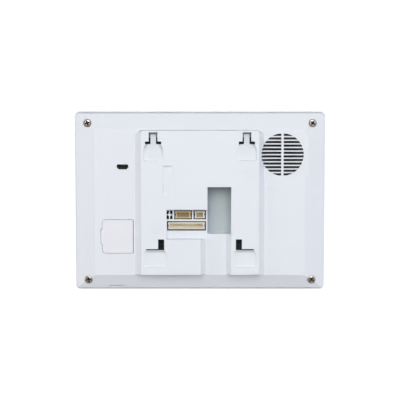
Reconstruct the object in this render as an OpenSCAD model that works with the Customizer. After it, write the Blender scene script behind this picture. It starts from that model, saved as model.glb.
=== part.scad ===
// Wall-mounted video intercom monitor, seen and drawn from its back: x runs right, y up and z out
// towards the wall. The last step, placed(), turns it so that z is up and the wall lies at +y.

/* [Body] */
// Overall width, over the front frame
body_w = 190; // [186:1:240]
// Overall height, over the front frame
body_h = 136; // [132:1:180]
// Overall depth, from the glass to the wall face
body_d = 26; // [25:0.5:34]
// Corner radius of the front frame
corner_r = 3.2; // [3:0.1:8]
// Depth of the front frame
frame_d = 6.5; // [6:0.5:9]
// Wall thickness of the mouldings
wall = 2; // [1.6:0.1:2.4]
// Ledge of the front frame past the rear cover, at the sides and the top
lip = 1.3; // [1:0.1:1.8]
// Ledge of the front frame past the rear cover, at the bottom
lip_bottom = 2.1; // [1:0.1:3]
// Gap between mouldings that fit together
fit_gap = 0.2; // [0.1:0.05:0.4]

/* [Rear cover] */
// Width of the sloping border at the sides
bevel_x = 14.3; // [10:0.1:16]
// Width of the sloping border at the top and the bottom
bevel_y = 11.3; // [9:0.1:13]
// Depth of the sloping border
bevel_d = 5.5; // [3:0.5:7]
// Height of the mounting pad above the back panel
pad_h = 7; // [6:0.5:9]
// Width left beside the pad for the card door, on the left of the pad
left_bay = 35.2; // [34:0.1:40]
// Width left beside the pad for the speaker, on the right of the pad
right_bay = 35.2; // [34:0.1:40]
// Width of the pad's sloping side, on the left
pad_slope_left = 4.9; // [3:0.1:6]
// Width of the pad's sloping side, on the right
pad_slope_right = 4.4; // [3:0.1:6]
// Draft of the pad's top and bottom walls
pad_draft = 0.4; // [0.3:0.1:1]
// Flat strip between the pad's ends and the sloping border
pad_margin = 0.8; // [0.2:0.1:2]
// Thickness of the posts round the counterbored case screws
post_wall = 1.4; // [1:0.1:2]
// Width of the flat tab beside the speaker grille, over the sloping border
tab_w = 2.4; // [1:0.1:4]

/* [Wall hooks] */
// Distance of the hook slots from the pad's sides
hook_inset = 9.2; // [8.7:0.1:12]
// Depth of the hook pockets
hook_depth = 4.5; // [4.2:0.1:5]
// Thickness of the hook pockets' walls and floor
hook_wall = 1.4; // [1:0.1:1.6]
// Width of the upper slots
slot_w = 6.5; // [5:0.1:8]
// Length of the upper slots above the pockets
slot_l = 7; // [5:0.5:9]
// Width of the tongue behind the upper slots
tongue_w = 4.2; // [3:0.1:5]

/* [Cable bay] */
// Left edge of the connector pocket, from the pad's centre
pocket_left = -25.1; // [-26:0.1:-24.5]
// Width of the network cable window
window_w = 17.8; // [17:0.1:20]
// Height of the network cable window
window_h = 36; // [34:0.5:40]
// Height of the window's top edge above the pad's centre
window_top = 12; // [10:0.5:14]
// Bar between the connector pocket and the window
window_bar = 1.1; // [0.8:0.1:2]
// Pitch of the header pins
pin_pitch = 2; // [1.8:0.05:2.05]
// Number of pins in the wide header
wide_pins = 13; // [10:1:13]

/* [Speaker] */
// Radius of the speaker grille
grille_r = 16; // [12:0.5:16]
// Distance between grille slots
grille_pitch = 2.7; // [2.4:0.05:3.5]
// Width of each grille slot
grille_slot = 1.8; // [1:0.05:1.9]
// Width of the upright rib in the grille
grille_rib = 1.7; // [1.5:0.1:3]
// Depth of the speaker
speaker_d = 7.6; // [6:0.1:8]

/* [Card door] */
// Width of the card door
door_w = 23.2; // [20:0.1:24]
// Height of the card door
door_h = 25.2; // [20:0.1:31]
// Thickness of the card door
door_t = 1.6; // [1.4:0.1:2]
// Gap round the card door
door_gap = 0.35; // [0.3:0.05:0.5]
// Radius of the door's hinge pins
hinge_r = 0.8; // [0.6:0.05:0.9]
// Running clearance round the hinge pins
hinge_fit = 0.05; // [0.03:0.01:0.1]

/* [Display] */
// Thickness of the front glass
glass_t = 1.8; // [1.1:0.1:2.5]
// Thickness of the printed film behind the glass
print_t = 0.2; // [0.2:0.05:0.3]
// Width of the frame's rim round the glass
rim_w = 2; // [1.5:0.1:3]
// Margin between the frame's sides and the display module
display_side = 12.5; // [12:0.5:20]
// Margin above the display module
display_top = 14; // [14:0.5:20]
// Margin below the display module, where the touch keys are
display_bottom = 22; // [20:0.5:30]
// Thickness of the display module
display_t = 4.3; // [3:0.1:5]
// Width of the display module's own edge round the picture
display_edge = 5.5; // [4:0.1:8]

/* [Main board] */
// Thickness of the circuit boards
board_t = 1.6; // [1:0.2:2]
// Space between the display module and the main board
board_space = 2.2; // [2.2:0.1:3]
// Overall height of the network jack above the board
jack_h = 12.6; // [11.5:0.1:13]

/* [Hidden] */
$fn = 48;
eps = 0.01;
corner_fn = 32;

// Levels, from the wall face at 0 towards the glass
z_panel = -pad_h;
z_rim = z_panel - bevel_d;
z_split = -(body_d - frame_d);
z_front = -body_d;
z_glass_back = z_front + glass_t;
z_web = z_glass_back + print_t;
gasket_t = 0.5;
z_display = z_web + gasket_t;
z_display_back = z_display + display_t;
z_board = z_display_back + board_space;
z_board_top = z_board + board_t;

// Half sizes of the rear cover: its outline, its flat panel and its mounting pad
cover_x = body_w / 2 - lip;
cover_top = body_h / 2 - lip;
cover_bottom = -(body_h / 2 - lip_bottom);
panel_x = cover_x - bevel_x;
panel_y = body_h / 2 - lip - bevel_y;
pad_left = -(panel_x - left_bay);
pad_right = panel_x - right_bay;
pad_mid = (pad_left + pad_right) / 2;
pad_top = panel_y - pad_margin - pad_draft;

// Case screws, in the frame's four corners
screw_inset_x = 10.25;
screw_inset_y = 8.55;
screw_x = body_w / 2 - screw_inset_x;
screw_y = body_h / 2 - screw_inset_y;
screw_r = 1.5;
screw_head_r = 2.9;
screw_head_h = 1.9;
head_gap = 0.25;
screw_seat = z_panel - bevel_d * (screw_x - panel_x) / bevel_x - screw_head_h - 0.4;
post_r = screw_head_r + head_gap + post_wall;
screw_bore = screw_r + 0.2;
thread_gap = 0.05;
screw_l = screw_seat - z_web - 1;

// Speaker and its grille, in the right-hand bay
grille_x = panel_x - grille_r - 1.4;
grille_y = panel_y - grille_r - 3.5;
speaker_r = grille_r + 0.5;
speaker_seat = z_panel - wall;
speaker_gasket_t = 0.6;
speaker_ring = 1.2;
speaker_face = speaker_seat - speaker_gasket_t;

// Card door, in the left-hand bay, with its hinge beside the pad
door_r = 2.5;
door_edge = 1.4;
door_x1 = pad_left - pad_slope_left - door_edge;
door_x0 = door_x1 - door_w;
door_y = -26;
door_barrel = 1.5;
door_heel = 0.28;
hinge_corner = 0.9;
hinge_x = door_x1 - door_barrel;
hinge_z = z_panel - door_barrel;
hinge_pin_l = 1.4;
door_tab_w = 1.1;
door_tab_h = 10.7;
door_ledge = 1.3;
door_rest_gap = 0.05;
lug_d = 3.6;
bay_wall = 1.2;

// Main board outline
board_x0 = -(panel_x - 2);
board_x1 = pad_right - 2;
board_y0 = -(panel_y - 5);
board_y1 = panel_y - 7;
standoff_r = 3;
board_screw_r = 1.1;
board_head_r = 2.2;
board_head_h = 1.1;
mark_a = [pad_right - 9.4, 20.9];
mark_b = [pad_left + 11.1, -20];
standoffs = [mark_a, mark_b, [board_x0 + 4, board_y1 - 4], [board_x0 + 4, board_y0 + 4]];

// Wire-to-board headers
header_gap = 0.8;
header_end = 1.9;
header_w = 5.3;
header_wall = 0.7;
header_floor = 1.5;
header_h = z_panel - 0.7 - z_board_top;

// Cable bay: the connector pocket, the window and the channel below it
pocket_x0 = pad_mid + pocket_left;
pocket_top = -4.9;
header_x0 = pocket_x0 + 0.2;
window_x0 = header_x0 + header_opening(wide_pins) + window_bar;
window_x1 = window_x0 + window_w;
window_bottom = window_top - window_h;
block_top = -27.5;
block_x1 = window_x0 - 5.2;
channel_slope_left = 3.6;
channel_slope_right = 3.7;

row_a_y = -9.6;
row_b_y = row_a_y - header_w - 2 * header_gap - 1.5;
wide_x = header_x0 + header_opening(wide_pins) / 2;
five_x = header_x0 + 5.4 + header_opening(5) / 2;
power_x = header_x0 + header_opening(wide_pins) - header_opening(3) / 2;
knockout_x = header_x0 + 1.9;

// Network jack, standing behind the window's top edge and opening down into it
jack_w = 16;
jack_l = 20;
jack_x = (window_x0 + window_x1) / 2;
jack_y0 = window_top + 0.6;
jack_wall = 0.4;

// Micro USB port and the card socket
usb_x = -(panel_x - 21.1);
usb_y = 26.7;
socket_x = door_x0 + 14;
socket_y = door_y;

function header_length(n) = (n - 1) * pin_pitch + 2 * header_end;
function header_opening(n) = header_length(n) + 2 * header_gap;

// Points on an arc about c, from angle a to angle b
function arc(c, r, a, b, n = 6) =
    [for (i = [0 : n]) [c[0] + r * cos(a + (b - a) * i / n), c[1] + r * sin(a + (b - a) * i / n)]];

// Turns the drawing to the part's own axes: the wall face at +y, up at +z
module placed() {
    rotate([90, 0, 180]) children();
}

// A profile drawn in x and z, drawn out along y
module along_y(y0, y1) {
    translate([0, y1, 0]) rotate([90, 0, 0]) linear_extrude(y1 - y0) children();
}

// A profile drawn in y and z, drawn out along x
module along_x(x0, x1) {
    translate([x0, 0, 0]) rotate([90, 0, 90]) linear_extrude(x1 - x0) children();
}

// A block between two levels, centred on a point
module slab(x, y, z0, z1, w, h) {
    translate([x - w / 2, y - h / 2, z0]) cube([w, h, z1 - z0]);
}

module block(x0, x1, y0, y1, z0, z1) {
    translate([x0, y0, z0]) cube([x1 - x0, y1 - y0, z1 - z0]);
}

module rod(x, y, z0, z1, r) {
    translate([x, y, z0]) cylinder(h = z1 - z0, r = r);
}

module rounded(w, h, r) {
    square([w - 2 * r, h], center = true);
    square([w, h - 2 * r], center = true);
    for (sx = [-1, 1], sy = [-1, 1])
        translate([sx * (w / 2 - r), sy * (h / 2 - r)]) circle(r, $fn = corner_fn);
}

module rounded_slab(x, y, z0, z1, w, h, r) {
    translate([x, y, z0]) linear_extrude(z1 - z0) rounded(w, h, r);
}

module at_corners() {
    for (sx = [-1, 1], sy = [-1, 1]) translate([sx * screw_x, sy * screw_y, 0]) children();
}

// A pan-head screw with a cross recess, its head seated at z = 0 and its shank towards -z
module pan_screw(r, l, head_r, head_h) {
    difference() {
        union() {
            translate([0, 0, -l]) cylinder(h = l + eps, r = r);
            cylinder(h = head_h * 0.45, r = head_r);
            translate([0, 0, head_h * 0.45]) cylinder(h = head_h * 0.55, r1 = head_r, r2 = head_r * 0.72);
        }
        for (a = [0, 90]) rotate([0, 0, a])
            translate([-head_r * 0.62, -head_r * 0.13, head_h * 0.4]) cube([head_r * 1.24, head_r * 0.26, head_h]);
    }
}

// ---------------------------------------------------------------- front frame, glass and display

frame_wall = 2.2;
tongue_h = 1.4;
tongue_t = 1;
frame_post_r = 3.6;
display_w = body_w - 2 * display_side;
display_h = body_h - display_top - display_bottom;
display_y = (display_bottom - display_top) / 2;
key_y = -(body_h / 2 - display_bottom / 2);
key_pitch = 16;
key_count = 5;
key_board_w = (key_count - 1) * key_pitch + 22;
key_board_h = 9;
web_t = 1.5;
mic_x = -(body_w / 2 - 42);
mic_r = 2;
mic_boot = 5.4;
z_mic = z_web + web_t + mic_r + 0.3;
mic_hole_r = 0.6;
mic_y = cover_bottom + wall + fit_gap + tongue_t + 0.2;
groove_w = 0.6;
groove_d = 1.6;
groove_under = 0.4;

// The rear cover's outline between two levels, drawn in by an inset
module cover_outline(z0, z1, inset) {
    rounded_slab(0, (cover_top + cover_bottom) / 2, z0, z1,
        2 * (cover_x - inset), cover_top - cover_bottom - 2 * inset, max(corner_r - lip / 2 - inset, 0.6));
}

module frame_profile_x(half) {
    round_r = 1;
    polygon(concat(
        [[-half, z_split]],
        arc([-half + round_r, z_front + round_r], round_r, 180, 270),
        arc([half - round_r, z_front + round_r], round_r, 270, 360),
        [[half, z_split]]
    ));
}

module front_frame() {
    color("white") difference() {
        union() {
            difference() {
                intersection() {
                    rounded_slab(0, 0, z_front, z_split, body_w, body_h, corner_r);
                    along_y(-body_h, body_h) frame_profile_x(body_w / 2);
                    along_x(-body_w, body_w) frame_profile_x(body_h / 2);
                }
                rounded_slab(0, 0, z_front - 1, z_web, body_w - 2 * rim_w, body_h - 2 * rim_w, corner_r - 1);
                rounded_slab(0, 0, z_web + web_t, z_split + 1,
                    body_w - 2 * frame_wall, body_h - 2 * frame_wall, corner_r - 1.5);
            }
            difference() {
                union() {
                    rounded_slab(0, 0, z_split - web_t, z_split,
                        body_w - 2 * frame_wall + 1, body_h - 2 * frame_wall + 1, corner_r - 1.5);
                    cover_outline(z_split - web_t, z_split + tongue_h, wall + fit_gap);
                }
                cover_outline(z_split - web_t - 1, z_split + tongue_h + 1, wall + fit_gap + tongue_t);
            }
            at_corners() rod(0, 0, z_web, z_split, frame_post_r);
            bracket_posts();
        }
        difference() {
            cover_outline(z_split - groove_d, z_split + 1, -groove_w);
            cover_outline(z_split - groove_d - 1, z_split + 2, groove_under);
        }
        slab(0, display_y, z_front, z_split + 5, display_w + 2 * fit_gap, display_h + 2 * fit_gap);
        slab(0, key_y, z_front, z_web + web_t + 1, key_board_w + 2 * fit_gap, key_board_h + 2 * fit_gap);
        at_corners() rod(0, 0, z_web + 0.6, z_split + 3, screw_r + thread_gap);
        at_corners() rod(0, 0, z_split, z_split + 3, post_r + 0.4);
        translate([mic_x, -body_h, z_mic]) rotate([-90, 0, 0]) cylinder(h = body_h + mic_y, r = mic_hole_r);
        bracket_seat() rod(0, 0, z_web + 1.5, z_display_back + 1, board_screw_r + thread_gap);
    }
}

module front_glass() {
    color([0.75, 0.82, 0.86, 0.35])
        rounded_slab(0, 0, z_front, z_glass_back,
            body_w - 2 * (rim_w + fit_gap), body_h - 2 * (rim_w + fit_gap), corner_r - 1 - fit_gap);
}

module glass_print() {
    color("white") difference() {
        rounded_slab(0, 0, z_glass_back, z_web,
            body_w - 2 * (rim_w + fit_gap), body_h - 2 * (rim_w + fit_gap), corner_r - 1 - fit_gap);
        slab(0, display_y, z_front, z_web + 1, display_w - 2 * display_edge, display_h - 2 * display_edge);
        for (i = [0 : key_count - 1])
            rod((i - (key_count - 1) / 2) * key_pitch, key_y, z_front, z_web + 1, 1);
    }
}

// Foam ring between the printed film and the display
module display_gasket() {
    color("dimgray") difference() {
        slab(0, display_y, z_web, z_display, display_w, display_h);
        slab(0, display_y, z_web - 1, z_display + 1, display_w - 2 * display_edge + 2, display_h - 2 * display_edge + 2);
    }
}

module display_module() {
    color("black") slab(0, display_y, z_display, z_display + 1.4, display_w, display_h);
}

module display_back() {
    color("silver") difference() {
        slab(0, display_y, z_display + 1.4, z_display_back, display_w, display_h);
        for (sx = [-1, 1])
            slab(sx * display_w / 4, display_y, z_display_back - 0.4, z_display_back + 1, display_w / 3, display_h * 0.6);
    }
}

bracket_w = 9;
bracket_t = 0.8;
bracket_ys = [for (s = [-1, 1]) display_y + s * display_h / 4];

module bracket_seat() {
    for (sx = [-1, 1], y = bracket_ys) translate([sx * (display_w / 2 + 3.6), y, 0]) children();
}

// Steel clips that hold the display against the frame
module display_brackets() {
    color("silver") for (sx = [-1, 1], y = bracket_ys) difference() {
        slab(sx * (display_w / 2 + 1), y, z_display_back, z_display_back + bracket_t, 11, bracket_w);
        rod(sx * (display_w / 2 + 3.6), y, z_display_back - 1, z_display_back + 2, 1.3);
    }
}

module bracket_posts() {
    bracket_seat() rod(0, 0, z_web, z_display_back, 2.8);
}

module bracket_screws() {
    color("gainsboro") bracket_seat()
        translate([0, 0, z_display_back + bracket_t]) pan_screw(board_screw_r, 3.5, board_head_r, board_head_h);
}

flex_w = 22;
flex_t = 0.3;

// Flat cable from the display's back, round the board's lower edge, to its connector
module display_flex() {
    z0 = z_display_back;
    z1 = z_board_top + 1.2;
    y1 = board_y0 - 1.6;
    bend = (z1 - z0) / 2;
    color("orange") along_x(-12 - flex_w / 2, -12 + flex_w / 2) polygon(concat(
        [[y1 + 14, z0]],
        arc([y1, (z0 + z1) / 2], bend, 270, 90, 10),
        [[y1 + 6, z1], [y1 + 6, z1 - flex_t]],
        arc([y1, (z0 + z1) / 2], bend - flex_t, 90, 270, 10),
        [[y1 + 14, z0 + flex_t]]
    ));
}

module key_board() {
    color("darkgreen") slab(0, key_y, z_web, z_web + 1, key_board_w, key_board_h);
}

module key_leds() {
    color("ivory") for (i = [0 : key_count - 1])
        slab((i - (key_count - 1) / 2) * key_pitch, key_y, z_web + 1, z_web + 1.6, 3, 1.6);
}

// Flat cable from the key board up to the under side of the main board
module key_flex() {
    z0 = z_web + 1;
    z1 = z_board - flex_t;
    y0 = key_y - 2;
    y1 = display_y - display_h / 2 - 1;
    color("orange") along_x(key_board_w / 2 - 9, key_board_w / 2 - 2) polygon([
        [y0, z0], [y1 - 8, z0], [y1 - 3, z1], [y1, z1],
        [y1, z1 + flex_t], [y1 - 3.2, z1 + flex_t], [y1 - 8.2, z0 + flex_t], [y0, z0 + flex_t]
    ]);
}

module microphone() {
    y0 = mic_y + 0.6;
    color("silver") translate([mic_x, y0, z_mic]) rotate([-90, 0, 0]) cylinder(h = 1.8, r = mic_r);
}

module microphone_boot() {
    y0 = mic_y;
    color("black") difference() {
        block(mic_x - mic_boot / 2, mic_x + mic_boot / 2, y0, y0 + 2.4, z_web + web_t, z_mic + mic_r + 0.7);
        translate([mic_x, y0 + 0.6, z_mic]) rotate([-90, 0, 0]) cylinder(h = 3, r = mic_r);
        translate([mic_x, y0 - 1, z_mic]) rotate([-90, 0, 0]) cylinder(h = 3, r = mic_hole_r);
    }
}

// ---------------------------------------------------------------- rear cover

bay_skin = 1.4;
z_bay = z_panel - wall;
z_skin = -wall;
z_plate = z_board_top + 1;
z_window_wall = z_plate + 0.3;
label_d = 0.4;
ring_d = 0.6;
rib_w = 0.45;
rib_d = 0.4;
hollow_d = 1.1;
hollow_x0 = pad_mid - 28;
hollow_x1 = pad_mid - 20.4;
hollow_y0 = 6.6;
hollow_y1 = 28.2;
slot_count = floor((2 * grille_r - grille_slot) / grille_pitch) + 1;

// The cover's section across one axis, drawn in by a wall thickness: a flat panel with sloping sides
module hood(x0, p0, p1, x1, t) {
    d0 = t * sqrt(1 + pow(bevel_d / (p0 - x0), 2));
    d1 = t * sqrt(1 + pow(bevel_d / (x1 - p1), 2));
    foot = t > 0 ? z_split - 1 : z_split;
    polygon([
        [x0 + t, foot],
        [x0 + t, z_rim + bevel_d * t / (p0 - x0) - d0],
        [p0 + (d0 - t) * (p0 - x0) / bevel_d, z_panel - t],
        [p1 - (d1 - t) * (x1 - p1) / bevel_d, z_panel - t],
        [x1 - t, z_rim + bevel_d * t / (x1 - p1) - d1],
        [x1 - t, foot]
    ]);
}

module cover_body(t) {
    intersection() {
        cover_outline(z_split - 1, 0, t);
        along_y(-body_h, body_h) hood(-cover_x, -panel_x, panel_x, cover_x, t);
        along_x(-body_w, body_w) hood(cover_bottom, -panel_y, panel_y, cover_top, t);
    }
}

face_corner = 1.8;
foot_corner = 6.5;

// The mounting pad: upright at its ends, sloping at its sides, with its upper corners rounder at the
// foot than at the face
module pad() {
    w = pad_right - pad_left;
    foot_w = w + pad_slope_left + pad_slope_right;
    hull() {
        translate([pad_mid, 0, -eps]) linear_extrude(eps) top_rounded(w, 2 * pad_top, face_corner);
        translate([pad_left - pad_slope_left + foot_w / 2, 0, z_panel - 1])
            linear_extrude(1) top_rounded(foot_w, 2 * (pad_top + pad_draft), foot_corner);
    }
}

module top_rounded(w, h, r) {
    translate([-w / 2, -h / 2]) square([w, h / 2]);
    rounded(w, h, r);
}

// Outline of a hook pocket: neck half width, belly half width, bottom and top. Its shoulders are
// quarter ellipses from the neck out to the belly.
module bell(neck, belly, y0, y1, r = 2) {
    shoulder = [for (i = [0 : 6])
        [neck + (belly - neck) * sin(15 * i), y1 - (y1 - y0) * shoulder_share * (1 - cos(15 * i))]];
    polygon(concat(
        [for (p = shoulder) [-p[0], p[1]]],
        arc([-belly + r, y0 + r], r, 180, 270),
        arc([belly - r, y0 + r], r, 270, 360),
        [for (i = [6 : -1 : 0]) shoulder[i]]
    ));
}

shoulder_share = 0.5;

hook_x = [pad_left + hook_inset, pad_right - hook_inset];
bell_y0 = 31.6;
bell_y1 = 43.9;
low_x = [pad_left + 10.6, pad_right - 10.6];
low_y0 = -48.8;
low_y1 = -35.9;
low_slot_x = 4.4;
low_slot_w = 4.6;
low_slot_y0 = -35.7;
low_slot_y1 = -27.4;
low_depth = 2.7;

module hook_bodies() {
    for (x = hook_x) {
        block(x - 9, x + 9, bell_y0 - hook_wall, bell_y1, -hook_depth - hook_wall, z_skin);
        block(x - tongue_w / 2, x + tongue_w / 2, bell_y1 - eps, bell_y1 + slot_l + 0.5, -hook_depth - hook_wall, -hook_depth);
    }
    for (x = low_x)
        block(x - 10.2, x + 10.2, low_y0 - hook_wall, low_y1, -low_depth - hook_wall, z_skin);
}

module hook_cuts() {
    for (x = hook_x) {
        translate([x, 0, -hook_depth]) linear_extrude(hook_depth + 1) bell(4.7, 7.5, bell_y0, bell_y1 + eps);
        block(x - 6.1, x + 6.1, bell_y1, bell_y1 + 2.2, -hook_depth, 1);
        block(x - slot_w / 2, x + slot_w / 2, bell_y1, bell_y1 + 2.2 + slot_l, -hook_depth, 1);
    }
    for (i = [0, 1]) {
        x = low_x[i];
        side = i == 0 ? 1 : -1;
        x0 = x + side * low_slot_x;
        translate([x, 0, -low_depth]) linear_extrude(low_depth + 1) bell(6.4, 8.8, low_y0, low_y1);
        slab(x0, (low_slot_y0 + low_slot_y1) / 2, z_skin - 0.5, 1, low_slot_w, low_slot_y1 - low_slot_y0);
        slab(x - side * 0.1, low_slot_y0 + 0.5, z_skin - 0.5, 1, 13.6, 1);
    }
}

// Solid matter round the cable bay, then the bay itself
module bay_bodies() {
    block(pocket_x0 - bay_skin, window_x0 + bay_skin, block_top - bay_skin, pocket_top + bay_skin, z_bay, z_skin);
    block(block_x1 - bay_skin, window_x1 + bay_skin, -pad_top + 1, window_bottom + bay_skin, z_bay, z_skin);
    block(window_x0 - window_bar, window_x1 + window_bar, window_bottom - window_bar, window_top,
        z_window_wall, z_skin);
}

module bay_cuts() {
    block(pocket_x0, window_x0 + 1, block_top, pocket_top, z_panel, 1);
    block(window_x0, window_x1, window_bottom, window_top, z_window_wall - 1, 1);
    along_y(-body_h, window_bottom) polygon([
        [window_x1, 1], [block_x1, 1], [block_x1, 0], [block_x1 + channel_slope_left, z_panel],
        [window_x1 - channel_slope_right, z_panel], [window_x1, 0]
    ]);
    header_hole(wide_x, row_b_y, wide_pins, 0.2);
    header_hole(five_x, row_a_y, 5);
    header_hole(power_x, row_a_y, 3);
    difference() {
        slab(knockout_x, row_a_y, z_bay - 1, z_panel + 1, 4.4, header_w + 2 * header_gap - 0.2);
        slab(knockout_x, row_a_y, z_bay - 2, z_panel + 2, 5, 0.7);
        rod(knockout_x, row_a_y, z_bay - 2, z_panel + 2, 1.1);
        slab(knockout_x, row_a_y, z_bay - 2, z_panel + 2, 0.8, 7);
    }
}

module header_hole(x, y, n, spare = 0) {
    slab(x, y, z_bay - 1, z_panel + 1, header_opening(n), header_w + 2 * (header_gap + spare));
}

// Shallow recesses: the label beds, the upright hollow, the moulded rings, the ribs beside the grille
// and the slit along the foot of the pad's right leg
module shallow_cuts() {
    block(pad_mid - 18.8, pad_mid + 21.4, 18.1, 44.1, -label_d, 1);
    block(panel_x - 29.3, panel_x - 3.2, -30.7, 9.8, z_panel - label_d, z_panel + 1);
    intersection() {
        along_y(0, 40) polygon([
            [hollow_x0, 1], [hollow_x0, 0], [hollow_x0 + 0.8, -hollow_d],
            [hollow_x1 - 1.4, -hollow_d], [hollow_x1, 0], [hollow_x1, 1]
        ]);
        along_x(hollow_x0 - 1, hollow_x1 + 1) polygon([
            [hollow_y0, 1], [hollow_y0, 0], [hollow_y0 + 1.4, -hollow_d],
            [hollow_y1 - 1.4, -hollow_d], [hollow_y1, 0], [hollow_y1, 1]
        ]);
    }
    for (m = [mark_a, mark_b]) {
        difference() {
            rod(m[0], m[1], -ring_d, 1, 3.2);
            rod(m[0], m[1], -1, 2, 2.5);
        }
        rod(m[0], m[1], -ring_d, 1, 0.4);
    }
    for (i = [0 : slot_count - 1]) {
        y = (i - (slot_count - 1) / 2) * grille_pitch + grille_slot / 2;
        block(grille_x + sqrt(grille_r * grille_r - y * y) + 1.2, panel_x + tab_w - 1.2,
            grille_y + y - rib_w, grille_y + y, z_panel - rib_d, z_panel + 1);
    }
    block(pad_right - 7.4, pad_right - 1.4, -pad_top + 0.3, -pad_top + 0.8, -0.8, 1);
}

module grille_cuts() {
    translate([grille_x, grille_y, z_bay - 1]) linear_extrude(wall + 5) intersection() {
        circle(grille_r, $fn = 64);
        for (i = [0 : slot_count - 1], sx = [-1, 1])
            translate([sx > 0 ? grille_rib / 2 : -grille_r - 1,
                (i - (slot_count - 1) / 2) * grille_pitch - grille_slot / 2])
                square([grille_r + 1 - grille_rib / 2, grille_slot]);
    }
}

speaker_post = 13.1;

module speaker_posts() {
    for (sx = [-1, 1], sy = [-1, 1])
        rod(grille_x + sx * speaker_post, grille_y + sy * speaker_post, speaker_face - 0.8, z_bay + 0.5, 1.9);
}

usb_w = 8.7;
usb_h = 3.8;

module usb_shape(w, h, c) {
    polygon([
        [-w / 2 + c / 2, h / 2], [w / 2 - c / 2, h / 2], [w / 2, h / 2 - c / 2], [w / 2, -h / 2 + c],
        [w / 2 - c, -h / 2], [-w / 2 + c, -h / 2], [-w / 2, -h / 2 + c], [-w / 2, h / 2 - c / 2]
    ]);
}

z_door = z_panel - door_t;
z_ledge = z_door - door_rest_gap;
bay_x0 = door_x0 - door_gap - 2.6;
bay_x1 = door_x1 + door_gap + 0.4;
bay_h = door_h + 2 * (door_gap + lug_d);

module door_bodies() {
    difference() {
        block(bay_x0, bay_x1, door_y - bay_h / 2, door_y + bay_h / 2, z_ledge - bay_wall, z_bay + eps);
        intersection() {
            block(door_x0 - 4, bay_x1 + 1, door_y - door_h / 2 + door_ledge, door_y + door_h / 2 - door_ledge,
                z_ledge - 5, z_panel);
            block(door_x0 + door_ledge, bay_x1 + 1, -body_h, body_h, z_ledge - 5, z_panel);
        }
    }
    for (sy = [-1, 1])
        slab(hinge_x, door_y + sy * (door_h / 2 + door_gap + lug_d / 2), hinge_z - 2.4, z_bay, 4.2, lug_d);
}

module door_cuts() {
    tab = door_tab_w + door_gap;
    rounded_slab((door_x0 + door_x1) / 2, door_y, z_ledge, z_panel + 1,
        door_w + 2 * door_gap, door_h + 2 * door_gap, door_r);
    block(door_x0 - tab, door_x0 + 1, door_y - 0.1 - door_tab_h / 2 - door_gap, door_y - 0.1 + door_tab_h / 2 + door_gap,
        z_ledge, z_panel + 1);
    block(door_x0 + door_ledge, door_x1 - 4, door_y - door_h / 2 + door_ledge, door_y + door_h / 2 - door_ledge,
        z_ledge - 3, z_panel);
    intersection() {
        block(hinge_x - door_barrel - 1.4, door_x1 + door_gap, -body_h, body_h, z_ledge - 3, z_panel + 1);
        rounded_slab((door_x0 + door_x1) / 2, door_y, z_ledge - 4, z_panel + 2,
            door_w + 2 * door_gap, door_h + 2 * door_gap, hinge_corner + 0.1);
    }
    along_y_rod(door_y - door_h / 2 - door_gap - hinge_pin_l, door_y + door_h / 2 + door_gap + hinge_pin_l,
        hinge_r + hinge_fit);
}

module along_y_rod(y0, y1, r) {
    translate([hinge_x, y0, hinge_z]) rotate([-90, 0, 0]) cylinder(h = y1 - y0, r = r);
}

module finger_dimple() {
    slope = atan(bevel_d / bevel_x);
    translate([panel_x + 8, 8.9, z_panel - 8 * bevel_d / bevel_x]) rotate([0, slope * 0.6, 0])
        translate([0, 0, -0.7]) linear_extrude(3) {
            circle(3.2);
            polygon([[-2.1, -2.4], [-2.1, 2.4], [-5, 0]]);
        }
}

module rear_cover() {
    color("white") difference() {
        union() {
            difference() {
                union() {
                    cover_body(0);
                    pad();
                    intersection() {
                        block(panel_x - 1, panel_x + tab_w, grille_y - 15.9, grille_y + 15.4, z_panel - 1.6, z_panel);
                        cover_outline(z_split, 0, 0);
                    }
                }
                cover_body(wall);
                block(pad_left + 1.6, pad_right - 1.6, -pad_top + 1.8, pad_top - 1.8, z_bay - 1, z_skin);
            }
            intersection() {
                at_corners() rod(0, 0, z_split, 0, post_r);
                cover_body(0);
            }
            intersection() {
                union() {
                    bay_bodies();
                    hook_bodies();
                }
                union() {
                    pad();
                    cover_body(0);
                }
            }
            for (m = [standoffs[0], standoffs[1]]) rod(m[0], m[1], z_board_top, z_skin, standoff_r);
            for (m = [standoffs[2], standoffs[3]]) rod(m[0], m[1], z_board_top, z_bay + 0.5, standoff_r);
            block(hollow_x0 - 1, hollow_x1 + 1, hollow_y0 - 1, hollow_y1 + 1, z_skin - 1, z_skin);
            speaker_posts();
            door_bodies();
        }
        bay_cuts();
        hook_cuts();
        shallow_cuts();
        grille_cuts();
        door_cuts();
        finger_dimple();
        translate([usb_x, usb_y, z_bay - 1]) linear_extrude(wall + 2) usb_shape(usb_w, usb_h, 1.4);
        at_corners() rod(0, 0, screw_seat, 0, screw_head_r + head_gap);
        at_corners() rod(0, 0, z_split - 1, 0, screw_bore);
        for (m = standoffs) rod(m[0], m[1], z_board_top - 1, z_board_top + 5, board_screw_r + thread_gap);
        for (sx = [-1, 1], sy = [-1, 1])
            rod(grille_x + sx * speaker_post, grille_y + sy * speaker_post, speaker_face - 2, z_bay - 0.1, 0.75);
        difference() {
            block(-panel_x + 10.4, -panel_x + 21.1, cover_bottom - 1, cover_bottom + 2, z_rim - 0.8, 0);
            block(-panel_x + 10.9, -panel_x + 20.6, cover_bottom - 2, cover_bottom + 1.5, z_split - 2, 1);
        }
    }
}

module case_screws() {
    color("gainsboro") at_corners() translate([0, 0, screw_seat])
        pan_screw(screw_r, screw_l, screw_head_r, screw_head_h);
}

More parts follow.
